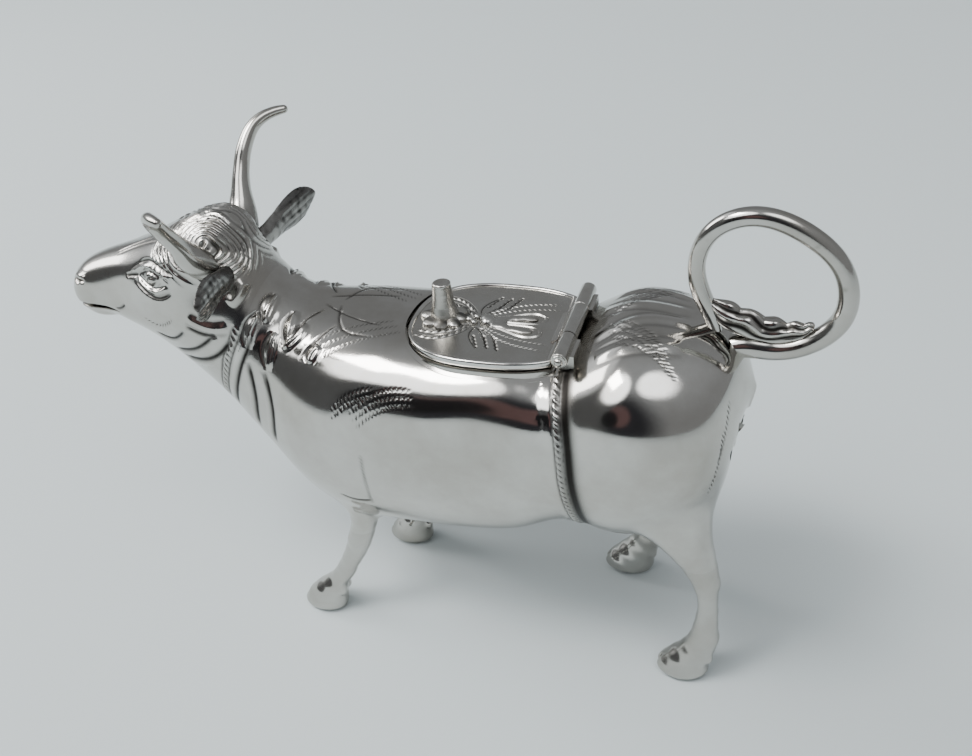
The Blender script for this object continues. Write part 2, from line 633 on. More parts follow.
def body_lines():
    """Chased work on the body, each line given on the +Y side from its upper end."""
    waist = [(25.0, 5.2, 63.4), (25.2, 9.6, 62.0), (25.7, 14.4, 60.0), (26.6, 17.6, 54.7),
             (27.1, 18.0, 46.9), (28.1, 14.9, 36.6), (28.6, 10.5, 31.0)]
    lines = [("rope", 0.42, 0.2, waist), ("fold", 1.3, 0.3, shifted(waist, 1.6, -0.2, 0.0))]
    shoulder = [(-18.1, 9.8, 62.3), (-12.7, 6.7, 64.0), (-4.8, 3.3, 64.3)]
    lines += [("comb", 0.28, 0.10, shifted(shoulder, 1.2 * k, 1.3 * k, -0.35 * k)) for k in range(3)]
    lines += [("cut", 0.24, 0.16, [(-19.4, 11.8, 60.4), (-16.9, 9.0, 62.9), (-14.3, 5.7, 64.2)]),
              ("cut", 0.24, 0.16, [(-21.5, 9.9, 62.0), (-20.7, 6.7, 64.1), (-18.0, 2.6, 64.9)]),
              ("cut", 0.2, 0.12, [(-15.6, 0.8, 64.8), (-12.6, 7.1, 63.9), (-7.5, 7.8, 63.7)]),
              ("cut", 0.2, 0.12, [(-18.4, 1.2, 65.1), (-13.2, 3.5, 64.6), (-6.6, 5.0, 64.2)])]
    flank = [(-8.9, 17.2, 54.6), (-5.6, 16.2, 57.4), (-1.5, 15.4, 59.0), (1.9, 15.4, 59.3)]
    lines += [("comb", 0.3, 0.16, shifted(flank, 0.5 * k, 0.35 * k, -1.25 * k)) for k in range(3)]
    lines += [("comb", 0.26, 0.14, shifted(flank[:3], -3.4, 0.6, 0.4 - 1.6 * k)) for k in range(2)]
    haunch = [(31.7, 2.8, 66.3), (36.5, 5.0, 68.2), (41.8, 8.7, 67.1)]
    lines += [("comb", 0.3, 0.15, shifted(haunch, 0.9 * k, 1.5 * k, -0.5 * k)) for k in range(-1, 4)]
    lines += [("ridge", 0.9, 0.28, [(29.5, 4.6, 65.0), (37.6, 2.2, 68.6), (44.5, 1.6, 67.8)]),
              ("ridge", 0.9, 0.24, [(31.0, 9.6, 65.0), (37.0, 8.4, 67.2), (44.0, 7.0, 67.0)]),
              ("comb", 0.36, 0.18, [(51.1, 11.9, 56.0), (50.9, 12.6, 50.6), (49.4, 13.2, 43.6)]),
              ("comb", 0.36, 0.18, [(51.6, 9.4, 59.9), (51.6, 11.3, 55.7), (50.8, 12.7, 49.8)]),
              ("comb", 0.36, 0.2, [(-7.7, 18.1, 47.0), (-7.8, 17.8, 40.8), (-8.0, 16.1, 34.3)]),
              ("cut", 0.3, 0.2, [(-14.2, 15.6, 35.4), (-11.5, 15.9, 34.6), (-7.8, 16.4, 35.6)])]
    return lines


def neck_lines():
    """Folds of the throat and the twisted cord round the neck."""
    cord = [(-31.4, 9.9, 64.6), (-32.2, 10.3, 62.5), (-33.7, 10.8, 59.4), (-35.6, 10.2, 54.6),
            (-37.4, 7.6, 48.6)]
    lines = [("rope", 0.5, 0.24, cord), ("fold", 0.45, 0.22, shifted(cord, 2.6, 0.4, -1.4)),
             ("fold", 0.5, 0.22, [(-29.8, 11.6, 58.6), (-29.3, 12.4, 51.6), (-30.6, 11.4, 44.5)]),
             ("fold", 0.5, 0.2, [(-26.6, 12.6, 57.6), (-25.6, 14.0, 50.6), (-26.9, 12.4, 42.5)])]
    lines += [("comb", 0.3, 0.16, [(-50.7, 8.4, 63.7), (-48.5, 8.6, 62.8), (-43.4, 9.9, 65.1)]),
              ("fold", 0.34, 0.2, [(-49.8, 7.2, 60.4), (-46.7, 8.2, 59.8), (-41.8, 9.8, 63.0)]),
              ("fold", 0.42, 0.26, [(-46.8, 6.9, 56.8), (-40.6, 9.6, 59.1), (-35.9, 10.3, 62.8)]),
              ("fold", 0.48, 0.3, [(-45.6, 6.7, 55.3), (-39.1, 9.6, 56.9), (-34.8, 10.6, 59.8),
                                  (-32.6, 10.2, 62.4)])]
    locks = [[(-26.5, 3.2, 67.5), (-26.8, 6.0, 66.2), (-27.0, 8.1, 64.6)],
             [(-22.5, 4.6, 65.2), (-22.3, 7.9, 63.5), (-22.3, 9.9, 61.9)],
             [(-19.9, 6.5, 64.1), (-20.5, 8.6, 63.0), (-22.9, 10.5, 61.3)],
             [(-16.0, 10.1, 62.4), (-16.9, 11.3, 61.4), (-17.3, 12.4, 60.2)],
             [(-28.6, 6.2, 65.4), (-29.2, 8.4, 63.4), (-29.6, 10.2, 60.6)],
             [(-25.0, 8.2, 62.9), (-25.2, 10.2, 60.8), (-25.6, 11.7, 57.6)]]
    lines += [("lock", 0.9, 0.5, rows) for rows in locks]
    return lines


def head_lines():
    """Lids, brows, lips, nose bridge and cheeks."""
    ex, ey, ez = EYE
    lid_edge = [(-51.7, 7.1, 71.7), (-49.4, 7.3, 73.2), (-46.8, 8.0, 74.0), (-44.0, 9.1, 73.4),
                (-42.2, 9.6, 72.6)]
    brow = [(-50.0, 6.8, 74.0), (-46.9, 7.6, 75.0), (-43.8, 8.9, 74.3), (-41.8, 9.5, 73.4)]
    lower_lid = [(-50.3, 7.7, 71.6), (-48.6, 8.8, 70.5), (-46.0, 9.6, 69.9), (-43.4, 9.8, 71.0)]
    bag = [(-50.8, 7.5, 70.9), (-48.6, 8.6, 69.5), (-45.6, 9.6, 68.8), (-42.6, 9.9, 70.2)]
    lines = [("ridge", 0.42, 0.5, lid_edge),
             ("cut", 0.3, 0.28, brow),
             ("ridge", 0.34, 0.4, lower_lid),
             ("cut", 0.3, 0.24, bag),
             ("cut", 0.34, 0.3, [(-53.2, 6.8, 71.0), (-51.6, 7.2, 71.5), (-50.0, 7.5, 71.9)])]
    turns = [2 * math.pi * k / 10 for k in range(11)]
    pupil = [(ex + 0.85 * math.cos(t), ey + 0.6, ez + 0.8 * math.sin(t)) for t in turns]
    lines.append(("cut", 0.2, 0.16, pupil))
    lines += [("cut", 0.22, 0.16, [(-57.2, 2.5, 72.9), (-54.0, 2.0, 74.2), (-48.8, 2.6, 76.5)]),
              ("cut", 0.22, 0.14, [(-56.8, 3.0, 72.8), (-52.8, 3.0, 74.5), (-46.6, 4.6, 76.9)]),
              ("ridge", 0.5, 0.22, [(-67.4, 3.6, 68.4), (-65.8, 4.8, 68.8), (-63.9, 5.2, 68.6)]),
              ("ridge", 0.75, 0.45, [(-30.7, 5.7, 71.4), (-31.4, 7.4, 69.7), (-32.7, 8.6, 68.3)]),
              ("ridge", 0.7, 0.35, [(-40.3, 10.1, 66.0), (-38.0, 10.1, 64.7), (-35.6, 10.2, 64.1),
                                    (-33.2, 10.0, 64.4)]),
              ("cut", 0.4, 0.25, [(-41.0, 10.1, 64.2), (-38.2, 10.1, 62.9), (-35.2, 10.2, 62.4)]),
              ("cut", 0.26, 0.2, [(-57.9, 6.2, 63.6), (-56.2, 6.6, 64.2), (-54.8, 6.9, 65.2)])]
    return lines


def waves(p, scale):
    """Smooth wandering number between about -1 and 1."""
    q = p / scale
    a = np.sin(q[:, 0] * 1.7 + np.sin(q[:, 1] * 2.3 + 0.5))
    a = a + np.sin(q[:, 1] * 1.9 + np.sin(q[:, 2] * 1.3 + 2.0))
    return (a + np.sin(q[:, 2] * 2.1 + np.sin(q[:, 0] * 1.1 + 4.0))) / 3


def poll_hair(p):
    """Curling strands over the poll and behind the horns: height and darkness, mm."""
    q = mirrored(p)
    curl = np.array([-36.2, 5.6, 77.2])
    radius = np.linalg.norm(q - curl, axis=1)
    angle = np.arctan2(q[:, 2] - curl[2], q[:, 0] - curl[0])
    inside = np.clip((11.0 - radius) / 2.0, 0, 1) * np.clip((q[:, 2] - 71.5) / 3.0, 0, 1)
    inside *= np.clip((q[:, 0] + 47.5) / 1.5, 0, 1) * np.clip((-27.0 - q[:, 0]) / 3.0, 0, 1)
    strand = radius + 0.8 * waves(q, 2.2) + 0.45 * np.sin(2.5 * angle) + 0.12 * radius * np.sin(angle)
    wave = np.sin(2 * math.pi * strand / 0.95)
    fine = np.sin(2 * math.pi * strand / 0.48 + 1.0)
    strength = inside * (0.62 + 0.45 * waves(q + 9.0, 1.5))
    return strength * (0.24 * wave + 0.07 * fine), strength * np.clip(0.1 - 0.55 * wave, 0, 1)


def cow_skin():
    """The whole outer surface of body, head and legs, with its chased work."""
    head_work = head_lines()
    work = body_lines() + neck_lines() + head_work
    marked = near_lines(work, cow_field, 1.4)

    def fine(p):
        head = (p[:, 0] < -29) & (p[:, 2] > 56)
        foot = p[:, 2] < 7
        return head | foot | marked(p)

    step = 0.45
    skin_made = Skin(cow_field, (-72, -24, -1.5), (58, 24, 86), step, fine, 1)
    height, dark = chase(skin_made, work, cow_field)
    hair, shade = poll_hair(skin_made.points)
    skin_made.raise_by(height + hair, dark + shade)
    return skin_made


# ------------------------------------------------------------------ cutting the skin into pieces
def quick_object(mesh, name="tool"):
    made = bpy.data.objects.new(name, mesh)
    bpy.context.scene.collection.objects.link(made)
    return made


def block(low, high):
    """A closed box as a cutting tool, mm."""
    bm = bmesh.new()
    bmesh.ops.create_cube(bm, size=1.0)
    for v in bm.verts:
        v.co = Vector([(a + b) / 2 + (b - a) * c for a, b, c in zip(low, high, v.co)]) * MM
    mesh = bpy.data.meshes.new("block")
    bm.to_mesh(mesh)
    attribute(mesh, "kind", "INT", "FACE", np.full(len(mesh.polygons), CUT_FACE))
    return quick_object(mesh)


def closed_mesh(name, points, faces):
    """A closed mesh from points in mm, with every face turned outwards."""
    mesh = bpy.data.meshes.new(name)
    mesh.from_pydata([(x * MM, y * MM, z * MM) for x, y, z in points], [], faces)
    bm = bmesh.new()
    bm.from_mesh(mesh)
    bmesh.ops.recalc_face_normals(bm, faces=bm.faces)
    bm.to_mesh(mesh)
    attribute(mesh, "kind", "INT", "FACE", np.full(len(faces), CUT_FACE))
    return mesh


def prism(outline, z0, z1):
    """A closed upright prism on an outline of (x, y), mm."""
    n = len(outline)
    points = [(x, y, z) for z in (z0, z1) for x, y in outline]
    faces = [tuple(reversed(range(n))), tuple(range(n, 2 * n))]
    faces += [(i, (i + 1) % n, n + (i + 1) % n, n + i) for i in range(n)]
    return quick_object(closed_mesh("prism", points, faces))


def carve(base, steps):
    """A mesh from a mesh and a list of (operation, tool object)."""
    holder = quick_object(base, "carved")
    for operation, tool in steps:
        cut = holder.modifiers.new("cut", "BOOLEAN")
        cut.operation = operation
        cut.solver = "MANIFOLD"
        cut.object = tool
    graph = bpy.context.evaluated_depsgraph_get()
    mesh = bpy.data.meshes.new_from_object(holder.evaluated_get(graph), depsgraph=graph)
    bpy.data.objects.remove(holder)
    return mesh


def finish_normals(mesh, source):
    """Corner normals: the sculpted ones on the skin, and flat ones on cut faces."""
    count, corners = len(mesh.vertices), len(mesh.loops)
    points = np.empty(count * 3, np.float32)
    mesh.vertices.foreach_get("co", points)
    points = points.reshape(-1, 3) / MM
    ways = read_ways(mesh)
    vertex = np.empty(corners, np.int32)
    mesh.loops.foreach_get("vertex_index", vertex)
    totals = np.empty(len(mesh.polygons), np.int32)
    mesh.polygons.foreach_get("loop_total", totals)
    flat = np.empty(len(mesh.polygons) * 3, np.float32)
    mesh.polygons.foreach_get("normal", flat)
    flat = np.repeat(flat.reshape(-1, 3), totals, axis=0)
    on_skin = np.repeat(read_kinds(mesh) == SKIN_FACE, totals)
    edge = np.zeros(count, bool)
    edge[vertex[~on_skin]] = True
    edge |= np.abs(np.linalg.norm(ways, axis=1) - 1) > 0.02
    fix = np.flatnonzero(edge)
    if len(fix) and source is not None:
        tree = KDTree(len(source.points))
        for i, p in enumerate(source.points):
            tree.insert(p, i)
        tree.balance()
        for v in fix:
            found = tree.find_n(points[v], 3)
            weight = np.array([1 / (f[2] + 1e-4) for f in found])
            ways[v] = (source.normals[[f[1] for f in found]] * weight[:, None]).sum(0)
    ways /= np.maximum(np.linalg.norm(ways, axis=1), 1e-6)[:, None]
    out = np.where(on_skin[:, None], ways[vertex], flat)
    mesh.polygons.foreach_set("use_smooth", np.ones(len(mesh.polygons), bool))
    mesh.normals_split_custom_set(out)
    return mesh


# ------------------------------------------------------------------ lid and hinge sizes, mm
LID = dict(front=-2.6, middle=12.0, rear_axis=17.0, half=12.6, power=2.5, cut=24.05)
LID_TOP = 64.0
LID_UNDER = 62.95
RIM_WIDTH = 0.9
RIM_RISE = 0.35
RIM_REACH = 11.9         # how far the rolled rim runs back from the lid's middle
KNOB_FOOT, KNOB_SHOULDER, KNOB_TOP = 64.5, 70.2, 70.95
SEAT_OUTER = 1.1
SEAT_BOTTOM = 59.6
HINGE_X, HINGE_Z = 25.6, 65.2
KNUCKLE_R = 1.35
PIN_R = 0.6
KNUCKLE_SPLIT = 4.5
HINGE_HALF = 11.4
KNOB_X = 3.0
ABOVE_LID = 80
BELOW_FEET = -1
# Where the leg castings end: x from, x to and height of the joint
LEG_BOXES = {"front_leg": (-40, 0, 22.0), "rear_leg": (28, 62, 26.9)}
NECK_CREST = STATIONS[NECK_STATION][:2]
NECK_KEEL = STATIONS[NECK_STATION][2:4]


def bent(value, power):
    return math.copysign(abs(value) ** (2 / power), value)


def lid_outline(grow, cut, steps=64):
    """Outline of the lid, grown outwards and squared off in front of the hinge."""
    half = LID["half"] + grow
    front = LID["middle"] - LID["front"] + grow
    rear = LID["rear_axis"] + grow
    share = (cut - LID["middle"]) / rear
    last = math.pi - math.acos(share ** (LID["power"] / 2))
    points = []
    for i in range(-steps, steps + 1):
        t = last * i / steps
        c = -math.cos(t)
        reach = rear if c > 0 else front
        x = LID["middle"] + reach * bent(c, LID["power"])
        points.append((x, half * bent(math.sin(t), LID["power"])))
    return points


def neck_block():
    """A tool that holds everything in front of the neck joint."""
    along = Vector((NECK_CREST[0] - NECK_KEEL[0], NECK_CREST[1] - NECK_KEEL[1])).normalized()
    ahead = Vector((-along.y, along.x))
    start = Vector(NECK_KEEL) - along * 60
    corners = [start, start + along * 150, start + along * 150 + ahead * 90, start + ahead * 90]
    points = [(c.x, y, c.y) for y in (-40, 40) for c in corners]
    faces = [(0, 1, 2, 3), (7, 6, 5, 4)] + [(i, i + 4, (i + 1) % 4 + 4, (i + 1) % 4) for i in range(4)]
    return quick_object(closed_mesh("neck", points, faces))


def inner_field(p):
    """The hollow inside body and head."""
    d = CARCASS.field(p) + 0.7 * bump(mirrored(p), EYE, (4.0, 3.0, 2.3))
    d = d + WALL
    return smax(d, np.maximum(p[:, 0] - 53.5, -66.0 - p[:, 0]), 1.0)


def cow_pieces(mats):
    whole = cow_skin()
    inside = Skin(inner_field, (-70, -22, 18), (58, 22, 86), 0.9)
    hollow = quick_object(inside.mesh("hollow", CUT_FACE))
    opening = prism(lid_outline(SEAT_OUTER, LID["cut"] + SEAT_OUTER), SEAT_BOTTOM, ABOVE_LID)
    room_end = HINGE_HALF + 1
    room_radius = KNUCKLE_R + 0.1
    hinge_room = quick_object(rod_mesh([(room_radius, -room_end), (room_radius, room_end)]), "room")
    neck = neck_block()
    shell = carve(whole.mesh("whole"), [("DIFFERENCE", tool) for tool in (hollow, opening, hinge_room)])
    leg_boxes = []
    for side_name, side in (("left", -1), ("right", 1)):
        for leg_name, (x0, x1, top) in LEG_BOXES.items():
            y0, y1 = (-25, 0.0) if side < 0 else (0.0, 25)
            tool = block((x0, y0, BELOW_FEET), (x1, y1, top))
            leg_boxes.append(tool)
            name = leg_name + "_" + side_name
            mesh = finish_normals(carve(shell.copy(), [("INTERSECT", tool)]), whole)
            show(name + "_casting", mesh, "jug", [name], mats["cast"])
    head = finish_normals(carve(shell.copy(), [("INTERSECT", neck)]), whole)
    show("head_shell", head, "jug", ["head_casting"], mats["cast"])
    rest = carve(shell, [("DIFFERENCE", neck)] + [("DIFFERENCE", tool) for tool in leg_boxes])
    for side_name, y0, y1 in (("left", -40, 0.0), ("right", 0.0, 40)):
        half = block((-90, y0, -10), (90, y1, 120))
        mesh = finish_normals(carve(rest.copy(), [("INTERSECT", half)]), whole)
        node_name = "body_%s_half" % side_name
        show("body_%s_shell" % side_name, mesh, "jug", [node_name], mats["sheet"])
        bpy.data.objects.remove(half)
    for tool in leg_boxes + [hollow, opening, hinge_room, neck]:
        bpy.data.objects.remove(tool)


def rod_mesh(profile, sides=48):
    """A turned shape along Y through the hinge, from (radius, y) pairs, mm."""
    points, faces = [], []
    for r, y in profile:
        for k in range(sides):
            t = 2 * math.pi * k / sides
            points.append((HINGE_X + r * math.cos(t), y, HINGE_Z + r * math.sin(t)))
    for i in range(len(profile) - 1):
        for k in range(sides):
            a, b = i * sides + k, i * sides + (k + 1) % sides
            faces.append((a, b, b + sides, a + sides))
    last = (len(profile) - 1) * sides
    faces.append(tuple(reversed(range(sides))))
    faces.append(tuple(range(last, last + sides)))
    return closed_mesh("rod", points, faces)


# ------------------------------------------------------------------ horns, ears and tail
# Centre lines on the +Y side: x, y, z, radius; an ear has half height and half thickness
HORN = [(-36.6, 4.6, 72.0, 3.1), (-36.4, 6.0, 73.5, 2.9), (-37.4, 9.2, 76.9, 2.55),
        (-37.9, 10.9, 79.7, 1.9), (-38.3, 13.1, 83.0, 1.5), (-38.2, 15.3, 86.0, 1.4),
        (-37.6, 17.6, 88.5, 1.25), (-36.2, 19.7, 90.1, 1.1), (-34.4, 21.4, 90.8, 0.95),
        (-32.7, 22.5, 91.0, 0.75)]
HORN_ROOT = 2
HORN_LEFT_REACH = 0.92
EAR = [(-34.0, 4.5, 72.2, 1.9, 1.7), (-32.6, 9.4, 73.1, 2.1, 1.4), (-32.0, 13.0, 73.7, 2.8, 1.0),
       (-31.2, 16.8, 74.2, 3.3, 0.8), (-30.5, 20.0, 74.6, 2.6, 0.7), (-30.1, 22.2, 74.8, 1.1, 0.5)]
TAIL = [(43.5, 0, 59.8, 2.1), (46.5, 0, 61.2, 2.1), (51.6, 0, 63.8, 2.05), (56.5, 0, 63.9, 1.9),
        (61.0, 0, 64.8, 1.8), (64.9, 0, 67.4, 1.7), (67.2, 0, 71.4, 1.6), (67.0, 0, 76.4, 1.55),
        (64.6, 0, 80.8, 1.55), (60.4, 0, 84.2, 1.6), (55.6, 0, 86.2, 1.55), (51.0, 0, 86.1, 1.5),
        (47.2, 0, 83.8, 1.4), (45.2, 0, 80.0, 1.35), (45.0, 0, 76.0, 1.4), (46.0, 0, 72.4, 1.45),
        (47.3, 0, 69.4, 1.3), (48.3, 0, 66.4, 1.0)]
TUFT = [(47.2, 0, 71.2, 1.1), (50.5, 0, 69.0, 2.25), (54.0, 0, 67.7, 2.3), (57.6, 0, 67.0, 2.0),
        (60.6, 0, 67.4, 1.5), (62.4, 0, 68.3, 0.7)]


def horn_pieces(mats):
    for side_name, side, reach in (("left", -1, HORN_LEFT_REACH), ("right", 1, 1.0)):
        root = np.array(HORN[HORN_ROOT][:3])
        rows = []
        for k, (x, y, z, r) in enumerate(HORN):
            spot = root + (np.array((x, y, z)) - root) * (reach if k > HORN_ROOT else 1.0)
            rows.append((spot[0], side * spot[1], spot[2], r))
        tube = Tube(rows)
        made = Skin(tube.field, (-42, min(0, side * 25), 67), (-28, max(0, side * 25), 93), 0.22)
        s = tube.nearest(made.points)[0]
        root_share = np.clip(1 - (s - 0.9) / 1.4, 0, 1)
        angle = np.arctan2(made.points[:, 2] - 74, side * made.points[:, 1] - 7)
        grooves = np.sin(9 * angle + 2 * s) * root_share
        height = 0.06 * grooves + 0.035 * waves(made.points, 1.3)
        made.raise_by(height, np.clip(-grooves, 0, 1) * 0.7 + 0.25 * root_share)
        mesh = finish_normals(made.mesh("horn"), None)
        show("horn_%s_cast" % side_name, mesh, "jug", ["horn_" + side_name], mats["cast"])


class Leaf:
    """An ear: a bar with a tall thin section, hollowed on one face."""

    def __init__(self, side):
        self.tube = Tube([(x, side * y, z, tall) for x, y, z, tall, _ in EAR])
        self.thick = Curve([[r[4]] for r in EAR])
        self.side = side

    def field(self, p):
        s, row, run = self.tube.nearest(p)
        off = p - row[:, :3]
        up = np.array([0.0, 0.0, 1.0]) - run * run[:, 2:3]
        up /= np.linalg.norm(up, axis=1)[:, None]
        out = np.cross(up, run) * self.side
        rise = np.sum(off * up, 1)
        depth = np.sum(off * out, 1)
        tall = row[:, 3]
        share = np.clip(s - 1.2, 0, 1)
        depth = depth + share * 0.75 * (1 - np.clip(np.abs(rise) / tall, 0, 1.2) ** 2)
        beyond = np.sum(off * run, 1)
        thick = self.thick.at(s)[:, 0] * (1 - 0.45 * share)
        grow = np.sqrt((rise / tall) ** 2 + (depth / thick) ** 2 + (beyond / thick) ** 2) + 1e-6
        r = np.sqrt(rise ** 2 + depth ** 2 + beyond ** 2)
        return r - r / grow


def ear_pieces(mats):
    for side_name, side in (("left", -1), ("right", 1)):
        leaf = Leaf(side)
        made = Skin(leaf.field, (-37, min(0, side * 24), 68), (-27, max(0, side * 24), 79), 0.16)
        s, row, _ = leaf.tube.nearest(made.points)
        rise = made.points[:, 2] - row[:, 2]
        face = np.clip((made.normals[:, 0] - 0.2) * 3, 0, 1) * np.clip(s - 1.0, 0, 1)
        furrow = np.sin(rise * 5.2 + 0.8 * waves(made.points, 2.0)) * face
        rough = waves(made.points, 0.7)
        grime = np.clip(-furrow * 0.3, 0, 1) + np.clip(rough * 0.5, 0, 0.5)
        made.raise_by(0.03 * furrow + 0.05 * rough, grime)
        mesh = finish_normals(made.mesh("ear"), None)
        show("ear_%s_cast" % side_name, mesh, "jug", ["ear_" + side_name], mats["dark"])


def tail_pieces(mats):
    tube = Tube(TAIL)
    made = Skin(tube.field, (40, -3, 56), (70, 3, 89), 0.3)
    made.raise_by(0.03 * waves(made.points, 3.0), np.clip(waves(made.points, 1.1) - 0.5, 0, 0.2))
    mesh = finish_normals(made.mesh("tail"), None)
    show("tail_loop", mesh, "jug", ["tail_handle"], mats["cast"])
    tuft = Tube(TUFT)

    def field(p):
        s, row, _ = tuft.nearest(p)
        scallop = 0.42 * np.abs(np.sin(s * 2.7)) * np.clip((p[:, 2] - row[:, 2]) / row[:, 3], 0, 1)
        off = (p - row[:, :3]) * (1.0, 1.12, 1.0)
        return np.linalg.norm(off, axis=1) - row[:, 3] * (0.86 + scallop * 0.5) - 0.25 * scallop

    made = Skin(field, (44, -3.5, 63), (66, 3.5, 74), 0.18)
    s, row, _ = tuft.nearest(made.points)
    off = made.points - row[:, :3]
    angle = np.arctan2(off[:, 2], np.abs(off[:, 1]))
    strand = np.sin(angle * 5.5 + 1.3 * np.sin(s * 3.0) + 0.8 * waves(made.points, 2.0))
    made.raise_by(0.17 * strand, np.clip(-strand, 0, 1) * 0.85)
    mesh = finish_normals(made.mesh("tuft"), None)
    show("tail_tuft_cast", mesh, "jug", ["tail_tuft"], mats["cast"])


# ------------------------------------------------------------------ lid
def inside_outline(p, grow):
    """How far points lie outside the lid's outline, mm; below zero is inside."""
    dx = p[:, 0] - LID["middle"]
    reach = np.where(dx > 0, LID["rear_axis"] + grow, LID["middle"] - LID["front"] + grow)
    half = LID["half"] + grow
    a = (np.abs(dx) / reach) ** LID["power"] + (np.abs(p[:, 1]) / half) ** LID["power"]
    grow_share = a ** (1 / LID["power"]) + 1e-6
    r = np.sqrt(dx ** 2 + p[:, 1] ** 2)
    return np.maximum(r - r / grow_share, p[:, 0] - LID["cut"] - grow)


def plate_field(p):
    d = smax(inside_outline(p, -RIM_WIDTH * 0.5), LID_UNDER + 0.03 - p[:, 2], 0.05)
    return smax(d, p[:, 2] - LID_TOP, 0.15)


def flat(rows):
    return [(x, y, LID_TOP) for x, y in rows]


def lid_lines():
    """Engraving on the plate, each line given on the +Y side of the middle."""
    loop = [(9.6, 0.5), (12.2, 1.4), (15.6, 2.9), (18.6, 3.6), (20.2, 2.6), (19.8, 1.0)]
    lines = [("ridge", 0.2, 0.24, flat(loop)),
             ("ridge", 0.16, 0.2, flat([(10.4, 0.3), (14.0, 0.35), (17.4, 0.4), (19.6, 0.7)])),
             ("cut", 0.16, 0.14, flat([(11.0, 0.9), (14.0, 1.7), (17.0, 2.4)])),
             ("cut", 0.3, 0.2, flat([(16.6, 1.5), (17.8, 2.2), (18.6, 1.6), (17.6, 1.2)])),
             ("comb", 0.28, 0.16, flat([(11.2, 0.6), (13.0, 1.0), (15.0, 1.3)]))]
    lines += [("comb", 0.3, 0.2, flat([(9.2, 1.6), (12.6, 4.4), (17.6, 6.6), (21.6, 7.2)])),
              ("comb", 0.26, 0.18, flat([(9.6, 1.3), (14.0, 3.8), (19.4, 5.2), (22.2, 5.4)]))]
    for x, y in ((8.6, 3.6), (10.4, 3.4), (12.2, 3.8)):
        for k in range(4):
            tip = (x + 0.5 + 0.4 * k, y + 0.9 + 0.95 * k)
            leaf = [tip, (tip[0] + 0.5, tip[1] + 0.35), (tip[0] + 0.7, tip[1] + 0.9)]
            lines.append(("cut", 0.24, 0.2, flat(leaf)))
        lines.append(("cut", 0.16, 0.14, flat([(9.0, 1.8), (x, y), (x + 2.2, y + 4.4)])))
    lines += [("rope", 0.3, 0.22, flat([(8.4, 1.0), (5.6, 3.4), (2.6, 4.6), (-0.4, 4.4)])),
              ("rope", 0.26, 0.2, flat([(8.2, 1.6), (6.0, 4.6), (3.0, 6.4), (-0.6, 5.8)])),
              ("cut", 0.2, 0.14, flat([(7.8, 1.0), (6.6, 1.6), (5.6, 1.2)]))]
    return lines


